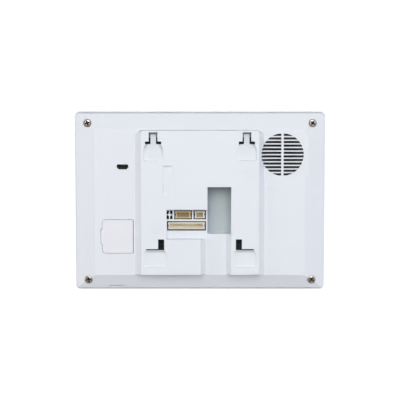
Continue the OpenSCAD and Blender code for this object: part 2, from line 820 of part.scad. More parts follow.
// Hinged lid over the memory card, with a barrel and stub pins along its right edge
module card_door() {
    mid = (door_x0 + door_x1) / 2;
    y0 = door_y - door_h / 2;
    y1 = door_y + door_h / 2;
    color("whitesmoke") {
        difference() {
            union() {
                intersection() {
                    rounded_slab(mid, door_y, z_door, z_panel, door_w, door_h, door_r);
                    block(door_x0, hinge_x, y0, y1, z_door, z_panel);
                }
                block(door_x0 - door_tab_w, door_x0 + 1, door_y - 0.1 - door_tab_h / 2, door_y - 0.1 + door_tab_h / 2,
                    z_door, z_panel);
                intersection() {
                    along_y_rod(y0, y1, door_barrel + door_heel);
                    rounded_slab(mid, door_y, hinge_z, z_panel, door_w, door_h, hinge_corner);
                    block(hinge_x - door_barrel, door_x1 + 1, y0, y1, hinge_z - 1, z_panel + 1);
                }
                along_y_rod(y0 + 0.4, y1 - 0.4, door_barrel);
                along_y_rod(y0 - door_gap - hinge_pin_l + 0.1, y1 + door_gap + hinge_pin_l - 0.1, hinge_r);
            }
            card_mark(mid - 0.5, door_y + 0.5);
        }
    }
}

// A small memory card drawn in outline, pressed into the door's face
module card_mark(x, y) {
    translate([x, y, z_panel - 0.25]) linear_extrude(1) difference() {
        polygon([[-4.5, -3.5], [4.5, -3.5], [4.5, 3.5], [-2.5, 3.5], [-4.5, 1.5]]);
        polygon([[-4, -3], [4, -3], [4, 3], [-2.3, 3], [-4, 1.3]]);
    }
}

// ---------------------------------------------------------------- main board and what stands on it

module main_board() {
    color("black") difference() {
        block(board_x0, board_x1, board_y0, board_y1, z_board, z_board_top);
        for (m = standoffs) rod(m[0], m[1], z_board - 1, z_board_top + 1, board_screw_r + 0.2);
    }
}

module board_screws() {
    color("gainsboro") for (m = standoffs) translate([m[0], m[1], z_board]) rotate([180, 0, 0])
        pan_screw(board_screw_r, 5.5, board_head_r, board_head_h);
}

pin_w = 0.5;

module header(x, y, n) {
    l = header_length(n);
    translate([x, y, z_board_top]) difference() {
        slab(0, 0, 0, header_h, l, header_w);
        slab(0, 0, header_floor, header_h + 1, l - 2.6, header_w - 2 * header_wall);
        slab(0, 0.4, header_floor + 2, header_h + 1, l - 1.4, header_w - 2 * header_wall - 1.4);
        for (sx = [-1, 1]) slab(sx * l / 2, 0, -1, header_h + 1, 0.9, 1.6);
        pin_row(0, 0, n, -1, header_floor + 1);
    }
}

module pin_row(x, y, n, z0, z1) {
    for (i = [0 : n - 1]) slab(x + (i - (n - 1) / 2) * pin_pitch, y, z0, z1, pin_w, pin_w);
}

module wide_header() {
    color("wheat") header(wide_x, row_b_y, wide_pins);
}

module wide_header_pins() {
    color("gold") pin_row(wide_x, row_b_y, wide_pins, z_board_top, z_panel - 2.4);
}

module five_pin_header() {
    color("peru") header(five_x, row_a_y, 5);
}

module five_pin_header_pins() {
    color("gold") pin_row(five_x, row_a_y, 5, z_board_top, z_panel - 2.4);
}

module power_header() {
    color("wheat") header(power_x, row_a_y, 3);
}

module power_header_pins() {
    color("gold") pin_row(power_x, row_a_y, 3, z_board_top, z_panel - 2.4);
}

z_jack_top = z_board_top + jack_h;
mouth_w = 11.8;
mouth_h = 6.8;
mouth_l = 13;
z_mouth = z_board_top + 2.2;
jack_y1 = jack_y0 + jack_l;

module network_jack() {
    color("silver") difference() {
        block(jack_x - jack_w / 2, jack_x + jack_w / 2, jack_y0, jack_y1, z_board_top, z_jack_top);
        block(jack_x - jack_w / 2 + jack_wall, jack_x + jack_w / 2 - jack_wall, jack_y0 - 1, jack_y1 - jack_wall,
            z_board_top - 1, z_jack_top - jack_wall);
    }
}

module network_jack_insert() {
    color("dimgray") difference() {
        block(jack_x - jack_w / 2 + jack_wall, jack_x + jack_w / 2 - jack_wall, jack_y0, jack_y1 - jack_wall,
            z_board_top, z_jack_top - jack_wall);
        block(jack_x - mouth_w / 2, jack_x + mouth_w / 2, jack_y0 - 1, jack_y0 + mouth_l, z_mouth, z_mouth + mouth_h);
        block(jack_x - 3.1, jack_x + 3.1, jack_y0 - 1, jack_y0 + mouth_l, z_mouth, z_mouth + mouth_h + 1.5);
        block(jack_x - 1.7, jack_x + 1.7, jack_y0 - 1, jack_y0 + 8, z_mouth, z_mouth + mouth_h + 2.8);
    }
}

module network_contacts() {
    color("gold") for (i = [0 : 7])
        along_x(jack_x + (i - 3.5) * 1.02 - 0.2, jack_x + (i - 3.5) * 1.02 + 0.2) polygon([
            [jack_y0 + 2, z_mouth], [jack_y0 + 2.6, z_mouth], [jack_y0 + 9, z_mouth + 1.9],
            [jack_y0 + 9, z_mouth + 2.3], [jack_y0 + 8.4, z_mouth + 2.3]
        ]);
}

// Steel plate over the board, seen as the floor of the network cable window
module shield_plate() {
    x0 = window_x0 - 1;
    x1 = window_x1 + 1;
    y0 = window_bottom - 1.6;
    color("gray") {
        block(x0, x1, y0, jack_y0 - 0.3, z_plate - 0.5, z_plate);
        for (x = [x0, x1 - 0.5], y = [y0 + 3, jack_y0 - 6]) block(x, x + 0.5, y, y + 3, z_board_top, z_plate - 0.4);
    }
}

z_usb_top = z_bay - 1.6;

module usb_port() {
    color("silver") translate([usb_x, usb_y, z_board_top]) difference() {
        linear_extrude(z_usb_top - z_board_top) usb_shape(7.9, 3, 1);
        translate([0, 0, 1]) linear_extrude(20) usb_shape(7.3, 2.4, 0.8);
    }
}

module usb_tongue() {
    color("black") slab(usb_x, usb_y + 0.4, z_board_top + 1, z_usb_top - 1.4, 4, 0.7);
}

socket_w = 14.2;
socket_h = 15;

module card_socket() {
    color("black") difference() {
        slab(socket_x, socket_y, z_board_top, z_board_top + 1.3, socket_w, socket_h);
        slab(socket_x, socket_y + 1.5, z_board_top + 0.5, z_board_top + 2, socket_w - 2.6, socket_h - 2);
    }
}

module card_socket_cover() {
    color("silver") difference() {
        slab(socket_x, socket_y, z_board_top + 1.3, z_board_top + 1.6, socket_w, socket_h);
        slab(socket_x, socket_y + 5, z_board_top, z_board_top + 3, 6, 4);
        slab(socket_x, socket_y - 4, z_board_top, z_board_top + 3, 9, 1.2);
    }
}

// ---------------------------------------------------------------- speaker

z_flange = speaker_face - 0.8;
z_magnet = speaker_face - speaker_d;
magnet_r = 8;
cup_t = 0.8;

module speaker_axis() {
    translate([grille_x, grille_y, 0]) rotate_extrude($fn = 96) children();
}

module speaker_basket() {
    color("dimgray") {
        speaker_axis() polygon([
            [speaker_r, speaker_face], [speaker_r, z_flange], [speaker_r - 1.6, z_flange],
            [magnet_r + 2.4, z_magnet + 3], [magnet_r - 2, z_magnet + 3], [magnet_r - 2, z_magnet + 3 + cup_t],
            [magnet_r + 2, z_magnet + 3 + cup_t], [speaker_r - 2.4, z_flange + 0.2], [speaker_r - 2.4, speaker_face]
        ]);
        slab(grille_x - speaker_r + 0.3, grille_y, z_flange - 0.6, z_flange + 0.1, 2.6, 4);
    }
}

module speaker_magnet() {
    color("gray") speaker_axis() polygon([
        [0, z_magnet], [magnet_r, z_magnet], [magnet_r, z_magnet + 3], [magnet_r - 2, z_magnet + 3],
        [magnet_r - 2, z_magnet + 3 + cup_t], [0, z_magnet + 3 + cup_t]
    ]);
}

module speaker_cone() {
    r = speaker_r - 2.4;
    z_roll = speaker_face - 0.55;
    color("black") speaker_axis() polygon(concat(
        [[r, z_roll], [r, z_roll + 0.35]],
        arc([r - 1.4, z_roll], 1.1, 20, 160),
        [[r - 3, z_roll], [4, speaker_face - 2.6], [3.2, speaker_face - 2.6], [3.2, speaker_face - 2.9],
            [4, speaker_face - 2.9], [r - 2.8, z_roll - 0.4]],
        arc([r - 1.4, z_roll], 0.8, 160, 20)
    ));
}

module speaker_dust_cap() {
    color("black") speaker_axis() polygon([
        [0, speaker_face - 1.4], [2, speaker_face - 1.7], [3.6, speaker_face - 2.6],
        [3.2, speaker_face - 2.6], [0, speaker_face - 2]
    ]);
}

module speaker_gasket() {
    color("black") speaker_axis() polygon([
        [speaker_r, speaker_seat], [speaker_r, speaker_face],
        [speaker_r - speaker_ring, speaker_face], [speaker_r - speaker_ring, speaker_seat]
    ]);
}

module speaker_screws() {
    color("gainsboro") for (sx = [-1, 1], sy = [-1, 1])
        translate([grille_x + sx * speaker_post, grille_y + sy * speaker_post, speaker_face - 0.8])
            rotate([180, 0, 0]) pan_screw(0.7, 1.3, 2.1, 0.9);
}

plug_x = board_x1 - 2.6;

module speaker_plug() {
    color("ivory") slab(plug_x, grille_y - 2, z_board_top, z_board_top + 3.4, 5, 6);
}

// Two-core flat lead from the plug up to the tab on the basket
module speaker_lead() {
    x0 = plug_x + 2.5;
    x1 = grille_x - speaker_r + 0.6;
    z0 = z_board_top + 2.2;
    z1 = z_flange - 0.6;
    color("firebrick") along_y(grille_y - 1.4, grille_y + 0.6) polygon([
        [x0, z0], [x0 + 1, z0], [x1 + 0.6, z1 - 0.4], [x1 + 0.6, z1], [x1 - 0.6, z1],
        [x0 + 0.7, z0 + 0.9], [x0, z0 + 0.9]
    ]);
}

// ---------------------------------------------------------------- parts on the board

module processor() {
    color("black") slab(pad_mid - 12, 30, z_board_top, z_board_top + 1.2, 15, 15);
}

module heat_pad() {
    color("gray") slab(pad_mid - 12, 30, z_board_top + 1.2, z_board_top + 2.4, 13, 13);
}

module memory_chip() {
    color("black") slab(pad_mid - 12, 12, z_board_top, z_board_top + 1, 9, 11);
}

module power_inductor() {
    color("dimgray") slab(pad_left + 3, 6, z_board_top, z_board_top + 3.6, 7, 7);
}

module capacitors() {
    color("silver") for (y = [2, 12]) rod(board_x0 + 8, y, z_board_top, z_board_top + 5.2, 3.1);
}

module flex_connectors() {
    color("ivory") {
        slab(-12, board_y0 + 2.9, z_board_top, z_board_top + 1.2 - flex_t, flex_w + 2, 3);
        slab(plug_x - 3, -28, z_board_top, z_board_top + 2.4, 6, 12);
    }
}

placed() front_frame();
placed() front_glass();
placed() glass_print();
placed() display_gasket();
placed() display_module();
placed() display_back();
placed() display_brackets();
placed() bracket_screws();
placed() display_flex();
placed() key_board();
placed() key_leds();
placed() key_flex();
placed() microphone();
placed() microphone_boot();
placed() rear_cover();
placed() case_screws();
placed() card_door();
placed() main_board();
placed() board_screws();
placed() wide_header();
placed() wide_header_pins();
placed() five_pin_header();
placed() five_pin_header_pins();
placed() power_header();
placed() power_header_pins();
placed() network_jack();
placed() network_jack_insert();
placed() network_contacts();
placed() shield_plate();
placed() usb_port();
placed() usb_tongue();
placed() card_socket();
placed() card_socket_cover();
placed() speaker_basket();
placed() speaker_magnet();
placed() speaker_cone();
placed() speaker_dust_cap();
placed() speaker_gasket();
placed() speaker_screws();
placed() speaker_lead();
placed() speaker_plug();
placed() processor();
placed() heat_pad();
placed() memory_chip();
placed() power_inductor();
placed() capacitors();
placed() flex_connectors();
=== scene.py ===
"""A wall-hung video intercom monitor, seen from its back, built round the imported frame."""
import math

import bmesh
import bpy
import numpy as np
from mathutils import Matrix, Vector


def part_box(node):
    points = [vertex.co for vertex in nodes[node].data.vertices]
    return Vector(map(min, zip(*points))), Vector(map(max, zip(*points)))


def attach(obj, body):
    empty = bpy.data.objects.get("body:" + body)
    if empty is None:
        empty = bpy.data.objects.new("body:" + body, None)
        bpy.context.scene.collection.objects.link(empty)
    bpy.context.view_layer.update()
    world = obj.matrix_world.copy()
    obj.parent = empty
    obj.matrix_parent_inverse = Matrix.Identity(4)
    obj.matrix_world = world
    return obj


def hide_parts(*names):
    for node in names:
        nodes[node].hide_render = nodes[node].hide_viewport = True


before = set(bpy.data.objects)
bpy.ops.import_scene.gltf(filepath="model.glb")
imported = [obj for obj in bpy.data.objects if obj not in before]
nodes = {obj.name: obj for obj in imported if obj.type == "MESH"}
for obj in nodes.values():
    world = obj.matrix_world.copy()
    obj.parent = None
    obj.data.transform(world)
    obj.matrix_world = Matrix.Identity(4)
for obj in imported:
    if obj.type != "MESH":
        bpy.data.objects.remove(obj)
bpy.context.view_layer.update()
MM = 0.001

# ---------------------------------------------------------------------------------------------
# The studio: a white floor that runs up into a white backdrop, a large soft light high up on the
# side of the camera, and a camera that looks at the back of the monitor from a little above.


def sweep(width, near, height, bend, drop, far):
    """A floor that curves up into a wall: straight, a quarter circle of radius bend, straight.
    It runs in y from near to far, and the wall stands height above the floor, which lies at z = drop."""
    turn = np.linspace(0, math.pi / 2, 24)
    y = np.concatenate([[near], far + bend - bend * np.sin(turn), [far]])
    z = np.concatenate([[0], bend - bend * np.cos(turn), [height]])
    x = np.array([-width / 2, width / 2])
    gx, gy = np.meshgrid(x, y)
    gz = np.repeat(z[:, None], 2, axis=1)
    return grid_mesh("backdrop", gx, gy, gz + drop)


def grid_mesh(name, gx, gy, gz):
    """A surface from three 2-D arrays: neighbouring entries become the corners of a face."""
    rows, cols = gx.shape
    points = np.stack([gx, gy, gz], axis=-1).reshape(-1, 3)
    index = np.arange(rows * cols).reshape(rows, cols)
    corners = [index[:-1, :-1], index[:-1, 1:], index[1:, 1:], index[1:, :-1]]
    faces = np.stack(corners, axis=-1).reshape(-1, 4)
    mesh = bpy.data.meshes.new(name)
    mesh.from_pydata(points.tolist(), [], faces.tolist())
    return mesh


def linear(red, green, blue):
    """A colour given as 0 to 255 in sRGB, as the linear values that a shader takes."""
    c = np.array([red, green, blue]) / 255
    c = np.where(c <= 0.04045, c / 12.92, ((c + 0.055) / 1.055) ** 2.4)
    return (*c.tolist(), 1.0)


def material(name, color, rough=0.5, metal=0.0):
    """A new node material; returns it with its node tree and its shader."""
    made = bpy.data.materials.new(name)
    made.use_nodes = True
    tree = made.node_tree
    shader = tree.nodes["Principled BSDF"]
    shader.inputs["Base Color"].default_value = color
    shader.inputs["Roughness"].default_value = rough
    shader.inputs["Metallic"].default_value = metal
    made.diffuse_color = color
    return made, tree, shader


floor_drop = -0.42
floor = bpy.data.objects.new("backdrop", sweep(8.0, 3.0, 4.0, 0.6, floor_drop, -1.6))
bpy.context.scene.collection.objects.link(floor)
for face in floor.data.polygons:
    face.use_smooth = True
floor_paint, floor_tree, floor_shader = material("backdrop_paint", linear(170, 168, 168), 0.9)
floor_glow = floor_tree.nodes.new("ShaderNodeEmission")
floor_glow.inputs["Strength"].default_value = 1.05
floor_seen = floor_tree.nodes.new("ShaderNodeLightPath")
floor_mix = floor_tree.nodes.new("ShaderNodeMixShader")
floor_tree.links.new(floor_seen.outputs["Is Camera Ray"], floor_mix.inputs["Fac"])
floor_tree.links.new(floor_shader.outputs["BSDF"], floor_mix.inputs[1])
floor_tree.links.new(floor_glow.outputs["Emission"], floor_mix.inputs[2])
floor_tree.links.new(floor_mix.outputs["Shader"], floor_tree.nodes["Material Output"].inputs["Surface"])
floor.data.materials.append(floor_paint)

world = bpy.data.worlds.new("studio")
bpy.context.scene.world = world
world.use_nodes = True
sky = world.node_tree
sky.nodes.clear()
sky_out = sky.nodes.new("ShaderNodeOutputWorld")
sky_light = sky.nodes.new("ShaderNodeBackground")
sky_light.inputs["Color"].default_value = linear(250, 252, 255)
sky_place = sky.nodes.new("ShaderNodeTexCoord")
sky_split = sky.nodes.new("ShaderNodeSeparateXYZ")
sky_slope = sky.nodes.new("ShaderNodeMapRange")
for socket, value in (("From Min", -0.6), ("From Max", 0.8), ("To Min", 0.04), ("To Max", 0.08)):
    sky_slope.inputs[socket].default_value = value
sky.links.new(sky_place.outputs["Generated"], sky_split.inputs["Vector"])
sky.links.new(sky_split.outputs["Z"], sky_slope.inputs["Value"])
sky.links.new(sky_slope.outputs["Result"], sky_light.inputs["Strength"])
sky_seen = sky.nodes.new("ShaderNodeBackground")
sky_seen.inputs["Color"].default_value = (1, 1, 1, 1)
sky_seen.inputs["Strength"].default_value = 1.05
sky_mix = sky.nodes.new("ShaderNodeMixShader")
sky_path = sky.nodes.new("ShaderNodeLightPath")
sky.links.new(sky_path.outputs["Is Camera Ray"], sky_mix.inputs["Fac"])
sky.links.new(sky_light.outputs["Background"], sky_mix.inputs[1])
sky.links.new(sky_seen.outputs["Background"], sky_mix.inputs[2])
sky.links.new(sky_mix.outputs["Shader"], sky_out.inputs["Surface"])


def softbox(name, place, aim, size, power, tint):
    """A square area light that faces a point."""
    lamp = bpy.data.lights.new(name, "AREA")
    lamp.shape = "SQUARE"
    lamp.size = size
    lamp.energy = power
    lamp.color = tint[:3]
    holder = bpy.data.objects.new(name, lamp)
    holder.location = place
    holder.rotation_mode = "QUATERNION"
    holder.rotation_quaternion = (Vector(aim) - Vector(place)).to_track_quat("-Z", "Y")
    bpy.context.scene.collection.objects.link(holder)


softbox("key_light", (-0.12, 1.9, 0.8), (0, 0, 0), 1.5, 31.2, (0.982, 0.989, 1.0))
softbox("left_light", (1.6, 0.7, 0.25), (0, 0, 0), 1.2, 10.1, (0.968, 0.98, 1.0))
softbox("right_light", (-1.6, 0.7, 0.25), (0, 0, 0), 1.2, 8.5, (0.825, 0.858, 1.0))
softbox("front_light", (-0.7, -1.7, 0.9), (0, 0, 0), 1.3, 85, (0.98, 0.985, 1.0))

camera = bpy.data.cameras.new("camera")
camera.lens = 112.8
camera.sensor_width = 36
camera.clip_end = 20
viewer = bpy.data.objects.new("camera", camera)
aim_y, aim_z = -0.012, 0.0012
reach = 0.95
lift = math.radians(5.5)
viewer.location = (0, aim_y + reach * math.cos(lift), aim_z + reach * math.sin(lift))
viewer.rotation_euler = (math.pi / 2 - lift, 0, math.pi)
bpy.context.scene.collection.objects.link(viewer)
bpy.context.scene.camera = viewer
bpy.context.scene.view_settings.view_transform = "Standard"

# ---------------------------------------------------------------------------------------------
# The two white mouldings, the front frame and the rear cover: injection-moulded ABS with a fine
# sparked texture. Their edges carry the small radius that a mould leaves.


def group(name, inputs, outputs):
    """An empty shader node group. An input is a name, a kind and a value; an output is a name and a kind."""
    made = bpy.data.node_groups.new(name, "ShaderNodeTree")
    for title, kind, value in inputs:
        socket = made.interface.new_socket(title, in_out="INPUT", socket_type=kind)
        socket.default_value = value
    for title, kind in outputs:
        made.interface.new_socket(title, in_out="OUTPUT", socket_type=kind)
    return made, made.nodes.new("NodeGroupInput"), made.nodes.new("NodeGroupOutput")


def add(tree, kind, **settings):
    """A node of a kind, with its properties set by name."""
    node = tree.nodes.new(kind)
    for key, value in settings.items():
        setattr(node, key, value)
    return node


def noise(tree, source, scale, detail=2.0, rough=0.5):
    """Cloudy noise over a position, from 0 to 1."""
    node = add(tree, "ShaderNodeTexNoise")
    node.inputs["Scale"].default_value = scale
    node.inputs["Detail"].default_value = detail
    node.inputs["Roughness"].default_value = rough
    tree.links.new(source, node.inputs["Vector"])
    return node.outputs["Fac"]


def spread(tree, source, low, high, to_low=0.0, to_high=1.0):
    """Maps low..high onto to_low..to_high, and holds the ends."""
    node = add(tree, "ShaderNodeMapRange")
    for key, value in (("From Min", low), ("From Max", high), ("To Min", to_low), ("To Max", to_high)):
        node.inputs[key].default_value = value
    tree.links.new(source, node.inputs["Value"])
    return node.outputs["Result"]


# Moulded grain: a pebbled height, a slow drift of tone and a roughness that follows the pebbles.
grain, grain_in, grain_out = group("moulded_grain",
    [("Vector", "NodeSocketVector", (0, 0, 0)), ("Pebbles", "NodeSocketFloat", 3000.0),
     ("Color", "NodeSocketColor", (0.8, 0.8, 0.8, 1)), ("Drift", "NodeSocketFloat", 0.03),
     ("Roughness", "NodeSocketFloat", 0.5)],
    [("Color", "NodeSocketColor"), ("Roughness", "NodeSocketFloat"), ("Height", "NodeSocketFloat")])
pebble = add(grain, "ShaderNodeTexNoise")
pebble.inputs["Detail"].default_value = 3.0
grain.links.new(grain_in.outputs["Vector"], pebble.inputs["Vector"])
grain.links.new(grain_in.outputs["Pebbles"], pebble.inputs["Scale"])
grain.links.new(pebble.outputs["Fac"], grain_out.inputs["Height"])
slow = noise(grain, grain_in.outputs["Vector"], 18.0, 3.0, 0.55)
centred = add(grain, "ShaderNodeMath", operation="SUBTRACT")
centred.inputs[1].default_value = 0.5
grain.links.new(slow, centred.inputs[0])
drifted = add(grain, "ShaderNodeMath", operation="MULTIPLY_ADD")
drifted.inputs[2].default_value = 1.0
grain.links.new(centred.outputs[0], drifted.inputs[0])
grain.links.new(grain_in.outputs["Drift"], drifted.inputs[1])
toned = add(grain, "ShaderNodeVectorMath", operation="SCALE")
grain.links.new(grain_in.outputs["Color"], toned.inputs[0])
grain.links.new(drifted.outputs[0], toned.inputs["Scale"])
grain.links.new(toned.outputs["Vector"], grain_out.inputs["Color"])
sheen = add(grain, "ShaderNodeMath", operation="MULTIPLY_ADD")
sheen.inputs[1].default_value = 0.12
grain.links.new(pebble.outputs["Fac"], sheen.inputs[0])
grain.links.new(grain_in.outputs["Roughness"], sheen.inputs[2])
grain.links.new(sheen.outputs[0], grain_out.inputs["Roughness"])


def moulded(name, color, pebbles=3000.0, drift=0.03, rough=0.45, depth=0.00002, strength=0.35):
    """A plastic with the moulded grain."""
    made, tree, shader = material(name, color, rough)
    place = add(tree, "ShaderNodeTexCoord")
    effect = add(tree, "ShaderNodeGroup", node_tree=grain)
    effect.inputs["Color"].default_value = color
    effect.inputs["Pebbles"].default_value = pebbles
    effect.inputs["Drift"].default_value = drift
    effect.inputs["Roughness"].default_value = rough
    bump = add(tree, "ShaderNodeBump")
    bump.inputs["Strength"].default_value = strength
    bump.inputs["Distance"].default_value = depth
    tree.links.new(place.outputs["Object"], effect.inputs["Vector"])
    tree.links.new(effect.outputs["Color"], shader.inputs["Base Color"])
    tree.links.new(effect.outputs["Roughness"], shader.inputs["Roughness"])
    tree.links.new(effect.outputs["Height"], bump.inputs["Height"])
    tree.links.new(bump.outputs["Normal"], shader.inputs["Normal"])
    return made


def paint(node, made):
    """Gives a CAD node one material all over."""
    target = nodes[node]
    target.data.materials.clear()
    target.data.materials.append(made)


def softened(node, made, name, body, radius, steps=2, angle=15):
    """A copy of a CAD node with its corners welded, its flat faces joined and its edges rounded."""
    mesh = nodes[node].data.copy()
    work = bmesh.new()
    work.from_mesh(mesh)
    bmesh.ops.remove_doubles(work, verts=work.verts, dist=2e-6)
    bmesh.ops.dissolve_limit(work, angle_limit=math.radians(0.6), verts=work.verts, edges=work.edges)
    work.to_mesh(mesh)
    work.free()
    mesh.materials.clear()
    mesh.materials.append(made)
    for face in mesh.polygons:
        face.use_smooth = True
    piece = bpy.data.objects.new(name, mesh)
    bpy.context.scene.collection.objects.link(piece)
    round_edges = piece.modifiers.new("rounded", "BEVEL")
    round_edges.width = radius
    round_edges.segments = steps
    round_edges.limit_method = "ANGLE"
    round_edges.angle_limit = math.radians(angle)
    round_edges.use_clamp_overlap = True
    weigh = piece.modifiers.new("even_faces", "WEIGHTED_NORMAL")
    weigh.keep_sharp = True
    weigh.mode = "FACE_AREA"
    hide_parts(node)
    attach(piece, body)
    return piece


white_shell = moulded("white_abs", linear(233, 236, 240), 2600.0, 0.02, 0.42, 0.00003, 0.3)
cover = softened("rear_cover", white_shell, "rear_cover_moulding", "housing", 0.18 * MM)
bezel = softened("front_frame", white_shell, "front_frame_moulding", "housing", 0.15 * MM)

door_white = moulded("door_abs", linear(236, 236, 239), 2600.0, 0.02, 0.4, 0.00003, 0.3)
lid = softened("card_door", door_white, "card_door_moulding", "door", 0.15 * MM)


def repaint(made, *names):
    """The same material for several CAD nodes that keep their shapes."""
    for node in names:
        paint(node, made)


def plated(name, color, rough=0.3, along=(1, 1, 60), depth=0.000004, metal=1.0):
    """A rolled or plated metal: fine streaks, drawn out across the direction with the largest scale."""
    made, tree, shader = material(name, color, rough, metal)
    place = add(tree, "ShaderNodeTexCoord")
    effect = add(tree, "ShaderNodeGroup", node_tree=rolled)
    effect.inputs["Color"].default_value = color
    effect.inputs["Scale"].default_value = along
    effect.inputs["Roughness"].default_value = rough
    bump = add(tree, "ShaderNodeBump")
    bump.inputs["Strength"].default_value = 0.3
    bump.inputs["Distance"].default_value = depth
    tree.links.new(place.outputs["Object"], effect.inputs["Vector"])
    tree.links.new(effect.outputs["Color"], shader.inputs["Base Color"])
    tree.links.new(effect.outputs["Roughness"], shader.inputs["Roughness"])
    tree.links.new(effect.outputs["Height"], bump.inputs["Height"])
    tree.links.new(bump.outputs["Normal"], shader.inputs["Normal"])
    return made


# Rolled metal: streaks from noise that is squeezed along one axis, in tone, roughness and height.
rolled, rolled_in, rolled_out = group("rolled_metal",
    [("Vector", "NodeSocketVector", (0, 0, 0)), ("Scale", "NodeSocketVector", (1, 1, 1)),
     ("Color", "NodeSocketColor", (0.6, 0.6, 0.6, 1)), ("Roughness", "NodeSocketFloat", 0.3)],
    [("Color", "NodeSocketColor"), ("Roughness", "NodeSocketFloat"), ("Height", "NodeSocketFloat")])
squeeze = add(rolled, "ShaderNodeVectorMath", operation="MULTIPLY")
rolled.links.new(rolled_in.outputs["Vector"], squeeze.inputs[0])
rolled.links.new(rolled_in.outputs["Scale"], squeeze.inputs[1])
streaks = noise(rolled, squeeze.outputs["Vector"], 90.0, 4.0, 0.6)
tone = spread(rolled, streaks, 0.3, 0.7, 0.93, 1.05)
shade = add(rolled, "ShaderNodeVectorMath", operation="SCALE")
rolled.links.new(rolled_in.outputs["Color"], shade.inputs[0])
rolled.links.new(tone, shade.inputs["Scale"])
rolled.links.new(shade.outputs["Vector"], rolled_out.inputs["Color"])
polish = add(rolled, "ShaderNodeMath", operation="MULTIPLY_ADD")
polish.inputs[1].default_value = 0.15
rolled.links.new(streaks, polish.inputs[0])
rolled.links.new(rolled_in.outputs["Roughness"], polish.inputs[2])
rolled.links.new(polish.outputs[0], rolled_out.inputs["Roughness"])
rolled.links.new(streaks, rolled_out.inputs["Height"])

# ---------------------------------------------------------------------------------------------
# The screws: nickel-plated pan heads with a cross recess painted dark brown as painted shade, and a rolled
# thread. The four case screws sit in the cover's corners; the smaller ones hold the board, the clips and the
# speaker.


def extent(node):
    """A CAD node's box in the drawing's axes, in millimetres: x right, y up, z towards the wall."""
    low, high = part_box(node)
    low, high = np.array(low) / MM, np.array(high) / MM
    return np.array([-high[0], low[2], low[1]]), np.array([-low[0], high[2], high[1]])


def to_row(points):
    """From the drawing's axes to the row frame, in metres."""
    points = np.asarray(points, float)
    return np.stack([-points[:, 0], points[:, 2], points[:, 1]], axis=1) * MM


def joined(parts):
    """Several (points, faces, materials) lists as one."""
    points, faces, looks, start = [], [], [], 0
    for p, f, m in parts:
        points.append(np.asarray(p, float))
        faces.extend([[i + start for i in face] for face in f])
        looks.extend(m)
        start += len(p)
    return np.concatenate(points), faces, looks


def rings(layers):
    """Faces between stacked closed rings of points, each with the same count, from first to last."""
    count = len(layers[0])
    points = np.concatenate(layers)
    i = np.arange(count)
    j = (i + 1) % count
    faces = [np.stack([k * count + i, k * count + j, (k + 1) * count + j, (k + 1) * count + i], axis=1)
             for k in range(len(layers) - 1)]
    return points, np.concatenate(faces).tolist()


def stand_in(name, parts, looks, node, body="housing", sharp=40):
    """A new piece from (points, faces, materials) in the drawing's axes that stands for a CAD node."""
    points, faces, index = parts
    mesh = bpy.data.meshes.new(name)
    mesh.from_pydata(to_row(points).tolist(), [], faces)
    work = bmesh.new()
    work.from_mesh(mesh)
    bmesh.ops.remove_doubles(work, verts=work.verts, dist=1e-8)
    work.to_mesh(mesh)
    work.free()
    if len(mesh.polygons) == len(index):
        mesh.polygons.foreach_set("material_index", np.array(index, dtype=np.int32))
    mesh.polygons.foreach_set("use_smooth", np.ones(len(mesh.polygons), dtype=bool))
    mesh.set_sharp_from_angle(angle=math.radians(sharp))
    for made in looks:
        mesh.materials.append(made)
    piece = bpy.data.objects.new(name, mesh)
    bpy.context.scene.collection.objects.link(piece)
    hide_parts(node)
    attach(piece, body)
    return piece


def pan_screw(radius, length, head_radius, head_height, cols=72, turn_rows=10):
    """A pan-head screw seated at z = 0. Head: z = height * (1 - 0.22 (rho / R) ** 6), less a cross recess.
    Shank: rho = radius * (1 - 0.2 * saw(z / pitch + angle / 2 pi)), with a pointed end."""
    angle = np.linspace(0, 2 * math.pi, cols, endpoint=False)
    rho = np.concatenate([np.linspace(0.02, 0.72, 26), np.linspace(0.76, 0.93, 5)]) * head_radius
    x = rho[:, None] * np.cos(angle)
    y = rho[:, None] * np.sin(angle)

    def arm(a, b):
        long = np.clip((0.7 * head_radius - np.abs(a)) / (0.14 * head_radius), 0, 1)
        wide = np.clip((0.2 * head_radius - np.abs(b)) / (0.08 * head_radius), 0, 1)
        return long * wide

    cross = np.maximum(arm(x, y), arm(y, x))
    heart = np.clip(1 - rho[:, None] / (0.34 * head_radius), 0, 1)
    sunk = head_height * (0.5 * cross + 0.32 * np.maximum(cross, heart) * heart)
    top = head_height * (1 - 0.22 * (rho[:, None] / head_radius) ** 6) - sunk
    layers = [np.stack([x[k], y[k], top[k]], axis=1) for k in range(len(rho))]

    def ring(r, z):
        return np.stack([r * np.cos(angle), r * np.sin(angle), np.broadcast_to(z, angle.shape)], axis=1)

    edge = head_height * 0.72
    for share, drop in ((0.975, 0.97), (1.0, 0.84), (1.0, 0.12), (0.985, 0.0)):
        layers.append(ring(head_radius * share, edge * drop))
    layers.append(ring(radius * 0.98, 0.0))
    pitch = radius * 0.8
    z = -np.linspace(0.15, length - 0.02, int((length / pitch) * turn_rows))
    for level in z:
        turn = (level / pitch + angle / (2 * math.pi)) % 1.0
        saw = np.abs(turn * 2 - 1)
        point = np.clip((length + level) / (radius * 1.6), 0.05, 1)
        layers.append(ring(radius * point * (0.99 - 0.2 * (1 - saw) ** 1.5), level))
    layers = layers[::-1]
    points, faces = rings(layers)
    faces = [face[::-1] for face in faces]
    head_start = (len(layers) - len(rho)) * cols
    # Faces deep in the cross recess take the second material: painted shade, dark brown where the recess lies
    # in shadow.
    deep = head_start + np.flatnonzero((sunk > 0.1 * head_height)[::-1].ravel())
    painted_shade_points = set(deep.tolist())
    looks = [1 if sum(i in painted_shade_points for i in face) >= 3 else 0 for face in faces]
    faces.append(list(range((len(layers) - 1) * cols, len(layers) * cols))[::-1])
    looks.append(1)
    faces.append(list(range(cols)))
    looks.append(0)
    return points, faces, looks


